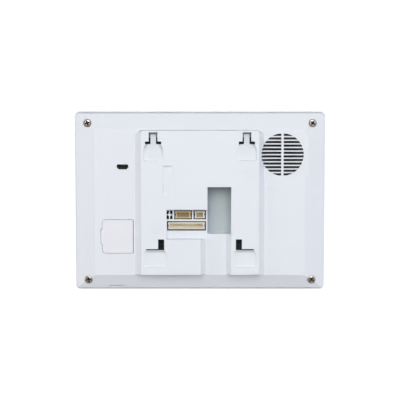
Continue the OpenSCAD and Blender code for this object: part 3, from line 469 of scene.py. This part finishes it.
def set_screws(shape, places, turned=0.0, flip=False):
    """Copies of a screw at several places, each turned a little further round, or standing on its head."""
    points, faces, looks = shape
    parts = []
    for k, (x, y, z) in enumerate(places):
        a = turned + 0.7 * k
        turn = np.array([[math.cos(a), -math.sin(a), 0], [math.sin(a), math.cos(a), 0], [0, 0, 1]])
        if flip:
            turn = turn @ np.diag([1, -1, -1])
        parts.append((points @ turn.T + np.array([x, y, z]), faces, looks))
    return joined(parts)


nickel = plated("nickel_plate", linear(186, 177, 166), 0.2, (40, 40, 40), 0.000003)
# The recess colour is painted shade: a dark brown that stands in for the shadow inside the cross recess.
recess_painted_shade = plated("recess_painted_shade", linear(84, 64, 50), 0.4, (60, 60, 60), 0.000006, 0.85)

low, high = extent("case_screws")
case_head = 2.9
case_seat = high[2] - 1.9
case_places = [(x, y, case_seat) for y in (high[1] - case_head, low[1] + case_head)
               for x in (low[0] + case_head, high[0] - case_head)]
stand_in("case_screws_turned",
         set_screws(pan_screw(1.5, case_seat - low[2], case_head, 1.9), case_places, 0.35),
         [nickel, recess_painted_shade], "case_screws")


def corners(node, inset):
    """The four corners of a CAD node's box, drawn in by an inset."""
    lo, hi = extent(node)
    return [(x, y) for y in (hi[1] - inset, lo[1] + inset) for x in (lo[0] + inset, hi[0] - inset)]


low, high = extent("bracket_screws")
stand_in("clip_screws", set_screws(pan_screw(1.1, 3.5, 2.2, 1.1, 40, 8),
         [(x, y, high[2] - 1.1) for x, y in corners("bracket_screws", 2.2)]),
         [nickel, recess_painted_shade], "bracket_screws")
low, high = extent("board_screws")
seat = low[2] + 1.1
board_holes = ((34.8, 20.9), (-33.1, -20.0), (-73.4, 44.4), (-73.4, -46.4))
stand_in("board_fixings", set_screws(pan_screw(1.1, high[2] - seat, 2.2, 1.1, 40, 8),
         [(x, y, seat) for x, y in board_holes], flip=True),
         [nickel, recess_painted_shade], "board_screws")
low, high = extent("speaker_screws")
stand_in("speaker_clamps", set_screws(pan_screw(0.7, 1.3, 2.1, 0.9, 36, 8),
         [(x, y, low[2] + 0.9) for x, y in corners("speaker_screws", 2.1)], flip=True),
         [nickel, recess_painted_shade], "speaker_screws")

# ---------------------------------------------------------------------------------------------
# The three wire-to-board headers in the cable bay: nylon shells with a vee down each end, ribs
# between the pins along the upper wall, and square pins with pointed tips.


def loop(length, height, vee, vee_half, ribs=0, rib=0.0, per_side=0):
    """A closed outline, counterclockwise from the lower left. A vee of that depth is pressed into each end:
    x = half - vee * max(0, 1 - |y| / vee_half). The upper edge dips by rib between neighbouring pins."""
    across = max(per_side, ribs * 8, 8)
    u = np.linspace(0, 1, across, endpoint=False)
    v = np.linspace(0, 1, 16, endpoint=False)

    def end(y):
        return length / 2 - vee * np.clip(1 - np.abs(y) / vee_half, 0, 1)

    lower = np.stack([-length / 2 + u * length, np.full(across, -height / 2)], axis=1)
    y = -height / 2 + v * height
    right = np.stack([end(y), y], axis=1)
    x = length / 2 - u * length
    wave = np.clip(2.4 * np.cos(2 * math.pi * ribs * (x / length + 0.5)), -1, 1) if ribs else np.zeros(across)
    upper = np.stack([x, height / 2 - rib * (1 + wave) / 2], axis=1)
    left = np.stack([-end(-y), -y], axis=1)
    return np.concatenate([lower, right, upper, left])


def header_shell(node, pins, wall, floor_up):
    """A header's shell inside the CAD node's box: outer wall, rounded rim, ribbed cavity and floor."""
    lo, hi = extent(node)
    mid, size = (lo + hi) / 2, hi - lo
    sides = pins * 8
    outer = loop(size[0], size[1], 0.75, 1.1, per_side=sides)
    slim = loop(size[0] - 0.24, size[1] - 0.24, 0.75, 1.1, per_side=sides)
    mouth = loop(size[0] - 2.2, size[1] - 2 * wall + 0.2, 0.35, 1.1, pins, 0.0, sides)
    inner = loop(size[0] - 2.6, size[1] - 2 * wall, 0.4, 1.1, pins, 0.9, sides)
    seat = loop(size[0] - 3.2, size[1] - 2 * wall - 0.5, 0.0, 1.1, pins, 0.75, sides)
    levels = ((outer, lo[2]), (outer, hi[2] - 0.14), (slim, hi[2]), (mouth, hi[2]), (inner, hi[2] - 0.25),
              (inner, hi[2] - 1.9), (seat, hi[2] - 2.1), (seat, lo[2] + floor_up))
    layers = [np.column_stack([ring + mid[:2], np.full(len(ring), z)]) for ring, z in levels]
    points, faces = rings(layers)
    count = len(outer)
    faces.append(list(range((len(layers) - 1) * count, len(layers) * count)))
    faces.append(list(range(count))[::-1])
    looks = [1 if any(i >= 4 * count for i in face) else 0 for face in faces]
    return points, faces, looks


def pin(x, y, low_z, high_z, half):
    """A square pin whose last half millimetre narrows to a blunt tip."""
    layers = []
    for share, z in ((1, low_z), (1, high_z - 0.6), (0.45, high_z)):
        a = half * share
        layers.append(np.array([[x - a, y - a, z], [x + a, y - a, z], [x + a, y + a, z], [x - a, y + a, z]]))
    points, faces = rings(layers)
    faces += [[0, 3, 2, 1], [8, 9, 10, 11]]
    return points, faces, [0] * len(faces)


def header_pins(node, count):
    """A row of pins that fills the CAD node's box."""
    lo, hi = extent(node)
    half = (hi[1] - lo[1]) / 2
    return joined([pin(x, (lo[1] + hi[1]) / 2, lo[2], hi[2], half)
                   for x in np.linspace(lo[0] + half, hi[0] - half, count)])


ivory = moulded("ivory_nylon", linear(232, 228, 212), 1500.0, 0.05, 0.34, 0.00002, 0.25)
# The cavity colours are lit and shaded copies of the nylon. The wide header's cavity is painted lighter
# (painted light), and the power and five-pin headers' cavities are painted darker (painted shade).
ivory_cavity_painted_light = moulded("ivory_nylon_cavity_painted_light", linear(240, 231, 208), 1500.0, 0.06, 0.45, 0.00002, 0.25)
ivory_cavity_painted_shade = moulded("ivory_nylon_cavity_painted_shade", linear(222, 208, 178), 1500.0, 0.06, 0.45, 0.00002, 0.25)
amber = moulded("amber_nylon", linear(222, 202, 160), 1500.0, 0.06, 0.34, 0.00002, 0.25)
amber_cavity_painted_shade = moulded("amber_nylon_cavity_painted_shade", linear(206, 180, 132), 1500.0, 0.08, 0.45, 0.00002, 0.25)
pin_gold = plated("pin_gold", linear(214, 190, 140), 0.28, (30, 30, 30), 0.000002)
# Each shell's cavity takes the second material from this table, with the painted light and painted shade
# given above.
for node, pins, outside, inside, nylon in (("wide_header", 13, ivory, ivory_cavity_painted_light, "ivory_nylon"),
                                           ("five_pin_header", 5, amber, amber_cavity_painted_shade, "amber_nylon"),
                                           ("power_header", 3, ivory, ivory_cavity_painted_shade, "ivory_nylon")):
    stand_in(node + "_shell", header_shell(node, pins, 0.7, 3.0), [outside, inside], node)
    stand_in(node + "_contacts", header_pins(node + "_pins", pins), [pin_gold], node + "_pins")

# ---------------------------------------------------------------------------------------------
# The speaker behind the grille: a pressed basket, a ribbed paper cone in a rubber surround, a glossy
# dust cap, and a foam ring against the cover.


def turned(profile, centre, cols=128):
    """A closed ring of revolution: (radius, z) points in order round the section."""
    angle = np.linspace(0, 2 * math.pi, cols, endpoint=False)
    x, y = np.cos(angle), np.sin(angle)
    layers = [np.stack([centre[0] + r * x, centre[1] + r * y, np.full(cols, z)], axis=1) for r, z in profile]
    points, faces = rings(layers)
    return points, faces


low, high = extent("speaker_gasket")
grille_mid = (low + high)[:2] / 2
speaker_face = low[2]
cone_r = (high[0] - low[0]) / 2 - 2.4

# The cone: a straight paper wall with shallow ribs, z = foot + rise * (r - 4) + 0.05 * cos(2 pi r / 1.15),
# then a half-round rubber roll out to its rim.
r = np.linspace(3.4, cone_r - 2.9, 60)
foot, rise = speaker_face - 2.6, 2.05 / (cone_r - 3 - 4)
wall_z = np.minimum(foot + rise * np.clip(r - 4, 0, None), speaker_face - 0.55)
wall_z = wall_z + 0.05 * np.cos(2 * math.pi * r / 1.15) - 0.05
roll = np.linspace(math.pi, 0, 24)
roll_r = cone_r - 1.4 + 1.1 * np.cos(roll)
roll_z = speaker_face - 0.5 + np.minimum(1.0 * np.sin(roll), 0.95) * 0.45
rim = [(cone_r - 0.05, speaker_face - 0.5), (cone_r - 0.05, speaker_face - 0.75)]
front = list(zip(r, wall_z)) + list(zip(roll_r, roll_z)) + rim
back = [(a, b - 0.28) for a, b in zip(roll_r[::-1], roll_z[::-1])]
back += [(a, b - 0.3) for a, b in zip(r[::-1], wall_z[::-1])]
points, faces = turned(front + back + [front[0]], grille_mid)
section = len(faces) // (len(front) + len(back))
looks = [0 if k // section < len(r) or k // section > len(front) + len(roll) else 1
         for k in range(len(faces))]
paper = moulded("cone_paper", linear(44, 43, 45), 900.0, 0.25, 0.55, 0.00006, 0.5)
rubber = moulded("surround_rubber", linear(34, 34, 36), 2200.0, 0.08, 0.32, 0.00001, 0.3)
stand_in("speaker_cone_and_roll", (points, faces, looks), [paper, rubber], "speaker_cone")

# The dust cap: a dome, z = edge + rise * sqrt(1 - (r / R) ** 2), with a thin rolled foot.
cap_low, cap_high = extent("speaker_dust_cap")
cap_r = (cap_high[0] - cap_low[0]) / 2
r = np.linspace(cap_r - 0.02, 0.02, 30)
dome_z = cap_low[2] + 0.05 + (cap_high[2] - cap_low[2] - 0.06) * np.sqrt(np.clip(1 - (r / cap_r) ** 2, 0, 1))
cap_foot = [(cap_r - 0.3, cap_low[2]), (cap_r - 0.02, cap_low[2])]
points, faces = turned(cap_foot + list(zip(r, dome_z)), grille_mid)
cap_black = moulded("cap_lacquer", linear(40, 40, 43), 2600.0, 0.05, 0.2, 0.000004, 0.3)
stand_in("dust_cap_dome", (points, faces, [0] * len(faces)), [cap_black], "speaker_dust_cap")

basket_black = moulded("basket_enamel", linear(38, 38, 41), 2400.0, 0.08, 0.3, 0.00001, 0.3)
foam = moulded("black_foam", linear(28, 28, 29), 1600.0, 0.2, 0.85, 0.0001, 0.9)
repaint(basket_black, "speaker_basket")
repaint(foam, "speaker_gasket", "display_gasket")
repaint(plated("magnet_nickel", linear(120, 120, 124), 0.35, (1, 40, 1)), "speaker_magnet")
repaint(moulded("lead_insulation", linear(150, 26, 22), 3000.0, 0.05, 0.35, 0.000004, 0.3), "speaker_lead")

# ---------------------------------------------------------------------------------------------
# The ports: a blackened micro USB shell with its tongue, the network jack above the cable window,
# and the galvanised plate that shows as the window's floor.

usb_black = plated("usb_blackened", linear(38, 38, 40), 0.35, (60, 1, 1), 0.000003, 0.6)
usb_inside = moulded("usb_tongue_black", linear(30, 30, 32), 2600.0, 0.05, 0.45, 0.00001, 0.3)
repaint(usb_black, "usb_port")
repaint(usb_inside, "usb_tongue", "network_jack_insert", "card_socket")
nickel_sheet = plated("nickel_sheet", linear(196, 196, 194), 0.26, (1, 1, 30))
repaint(nickel_sheet, "network_jack", "card_socket_cover", "microphone")
repaint(pin_gold, "network_contacts")

# The plate's grey drifts from a darker, bluer tone at one side to a lighter, greener one, and is painted
# darker towards the window's top edge: painted shade, where that edge shades the plate.
plate, plate_tree, plate_shader = material("plate_grey", linear(170, 180, 182), 0.55, 0.25)
plate_place = add(plate_tree, "ShaderNodeTexCoord")
plate_split = add(plate_tree, "ShaderNodeSeparateXYZ")
plate_tree.links.new(plate_place.outputs["Object"], plate_split.inputs["Vector"])
side_way = add(plate_tree, "ShaderNodeMapRange")
for socket, value in (("From Min", -0.006), ("From Max", -0.013), ("To Min", 0.0), ("To Max", 1.0)):
    side_way.inputs[socket].default_value = value
plate_tree.links.new(plate_split.outputs["X"], side_way.inputs["Value"])
side_mix = add(plate_tree, "ShaderNodeMix", data_type="RGBA")
side_mix.inputs["A"].default_value = linear(162, 173, 182)
side_mix.inputs["B"].default_value = linear(181, 190, 190)
plate_tree.links.new(side_way.outputs["Result"], side_mix.inputs["Factor"])
# Painted shade: the colour is scaled down towards the window's top edge.
plate_top_painted_shade = add(plate_tree, "ShaderNodeMapRange")
for socket, value in (("From Min", 0.012), ("From Max", -0.018), ("To Min", 0.87), ("To Max", 1.07)):
    plate_top_painted_shade.inputs[socket].default_value = value
plate_tree.links.new(plate_split.outputs["Z"], plate_top_painted_shade.inputs["Value"])
plate_painted_shade_tone = add(plate_tree, "ShaderNodeVectorMath", operation="SCALE")
plate_tree.links.new(side_mix.outputs["Result"], plate_painted_shade_tone.inputs[0])
plate_tree.links.new(plate_top_painted_shade.outputs["Result"], plate_painted_shade_tone.inputs["Scale"])
plate_cloud = noise(plate_tree, plate_place.outputs["Object"], 160.0, 3.0, 0.5)
plate_wear_and_shade = add(plate_tree, "ShaderNodeVectorMath", operation="SCALE")
plate_tree.links.new(plate_painted_shade_tone.outputs["Vector"], plate_wear_and_shade.inputs[0])
plate_tree.links.new(spread(plate_tree, plate_cloud, 0.3, 0.7, 0.97, 1.03), plate_wear_and_shade.inputs["Scale"])
plate_tree.links.new(plate_wear_and_shade.outputs["Vector"], plate_shader.inputs["Base Color"])
plate_tree.links.new(spread(plate_tree, plate_cloud, 0.3, 0.7, 0.5, 0.62), plate_shader.inputs["Roughness"])
repaint(plate, "shield_plate")

# ---------------------------------------------------------------------------------------------
# The circuit boards and what they carry: matte black solder mask with raised tracks, moulded chips,
# cans of streaked metal, flat cables with copper lines under an amber film.


def solder_mask(name, color, scale):
    """Black mask over tracks: bricks give the straight runs, and cells give the islands of copper."""
    made, tree, shader = material(name, color, 0.5)
    place = add(tree, "ShaderNodeTexCoord")
    bricks = add(tree, "ShaderNodeTexBrick")
    for socket, value in (("Scale", scale), ("Mortar Size", 0.035), ("Mortar Smooth", 0.1),
                          ("Brick Width", 0.9), ("Row Height", 0.22)):
        bricks.inputs[socket].default_value = value
    turn = add(tree, "ShaderNodeMapping")
    turn.inputs["Rotation"].default_value = (math.pi / 2, 0, 0)
    tree.links.new(place.outputs["Object"], turn.inputs["Vector"])
    tree.links.new(turn.outputs["Vector"], bricks.inputs["Vector"])
    cells = add(tree, "ShaderNodeTexVoronoi")
    cells.inputs["Scale"].default_value = scale * 2.2
    tree.links.new(place.outputs["Object"], cells.inputs["Vector"])
    track = add(tree, "ShaderNodeMath", operation="MULTIPLY")
    tree.links.new(bricks.outputs["Fac"], track.inputs[0])
    tree.links.new(spread(tree, cells.outputs["Distance"], 0.18, 0.24), track.inputs[1])
    tint = add(tree, "ShaderNodeMix", data_type="RGBA")
    tint.inputs["A"].default_value = color
    tint.inputs["B"].default_value = tuple(min(1.0, 1.9 * c + 0.004) for c in color[:3]) + (1.0,)
    tree.links.new(track.outputs[0], tint.inputs["Factor"])
    tree.links.new(tint.outputs["Result"], shader.inputs["Base Color"])
    tree.links.new(spread(tree, track.outputs[0], 0.0, 1.0, 0.5, 0.36), shader.inputs["Roughness"])
    bump = add(tree, "ShaderNodeBump")
    bump.inputs["Strength"].default_value = 0.5
    bump.inputs["Distance"].default_value = 0.00003
    tree.links.new(track.outputs[0], bump.inputs["Height"])
    tree.links.new(bump.outputs["Normal"], shader.inputs["Normal"])
    return made


def striped(name, color, line, axis, pitch, share, rough, metal=0.0):
    """A film or sleeve with lines across one axis, pitch apart, that take up that share of it."""
    made, tree, shader = material(name, color, rough, metal)
    place = add(tree, "ShaderNodeTexCoord")
    split = add(tree, "ShaderNodeSeparateXYZ")
    tree.links.new(place.outputs["Object"], split.inputs["Vector"])
    wave = add(tree, "ShaderNodeMath", operation="PINGPONG")
    wave.inputs[1].default_value = pitch / 2
    tree.links.new(split.outputs[axis], wave.inputs[0])
    cut = spread(tree, wave.outputs[0], pitch * share / 2, pitch * (share / 2 + 0.04))
    tint = add(tree, "ShaderNodeMix", data_type="RGBA")
    tint.inputs["A"].default_value = line
    tint.inputs["B"].default_value = color
    tree.links.new(cut, tint.inputs["Factor"])
    tree.links.new(tint.outputs["Result"], shader.inputs["Base Color"])
    tree.links.new(spread(tree, cut, 0.0, 1.0, rough * 0.8, rough), shader.inputs["Roughness"])
    return made


mask = solder_mask("board_mask", linear(34, 35, 37), 60.0)
repaint(mask, "main_board", "key_board")
epoxy = moulded("chip_epoxy", linear(42, 42, 44), 2200.0, 0.06, 0.5, 0.00001, 0.4)
repaint(epoxy, "processor", "memory_chip")
repaint(moulded("inductor_ferrite", linear(58, 57, 58), 1400.0, 0.12, 0.7, 0.00004, 0.7), "power_inductor")
repaint(moulded("heat_pad_silicone", linear(146, 152, 162), 1200.0, 0.06, 0.75, 0.00003, 0.5), "heat_pad")
repaint(plated("capacitor_can", linear(198, 199, 200), 0.25, (1, 1, 40)), "capacitors")
repaint(moulded("connector_nylon", linear(226, 220, 200), 1500.0, 0.05, 0.4, 0.00001, 0.3),
        "flex_connectors", "speaker_plug")
repaint(moulded("mic_boot_rubber", linear(36, 36, 37), 2000.0, 0.08, 0.65, 0.00002, 0.4), "microphone_boot")
flex_film = striped("flex_copper", linear(196, 122, 44), linear(150, 84, 26), "X", 0.8 * MM, 0.5, 0.3)
repaint(flex_film, "display_flex", "key_flex")
repaint(moulded("led_resin", linear(240, 236, 206), 3000.0, 0.03, 0.18, 0.000002, 0.2), "key_leds")

# ---------------------------------------------------------------------------------------------
# The display: cover glass, the white film printed behind it, the panel and its brushed steel back,
# held by four zinc-plated clips.

panel = striped("display_panel", linear(16, 17, 20), linear(10, 11, 13), "X", 0.25 * MM, 0.4, 0.12)
repaint(panel, "display_module")
repaint(plated("display_steel", linear(188, 190, 192), 0.3, (40, 1, 1)), "display_back")
repaint(plated("clip_zinc", linear(190, 192, 190), 0.34, (1, 30, 1)), "display_brackets")
repaint(moulded("printed_white", linear(232, 234, 238), 4000.0, 0.01, 0.22, 0.000002, 0.2), "glass_print")

glass, glass_tree, glass_shader = material("cover_glass", linear(232, 238, 242), 0.04)
glass_shader.inputs["Alpha"].default_value = 0.08
glass_shader.inputs["IOR"].default_value = 1.5
glass_place = add(glass_tree, "ShaderNodeTexCoord")
glass_haze = noise(glass_tree, glass_place.outputs["Object"], 30.0, 3.0, 0.5)
glass_tree.links.new(spread(glass_tree, glass_haze, 0.3, 0.7, 0.02, 0.06), glass_shader.inputs["Roughness"])
repaint(glass, "front_glass")
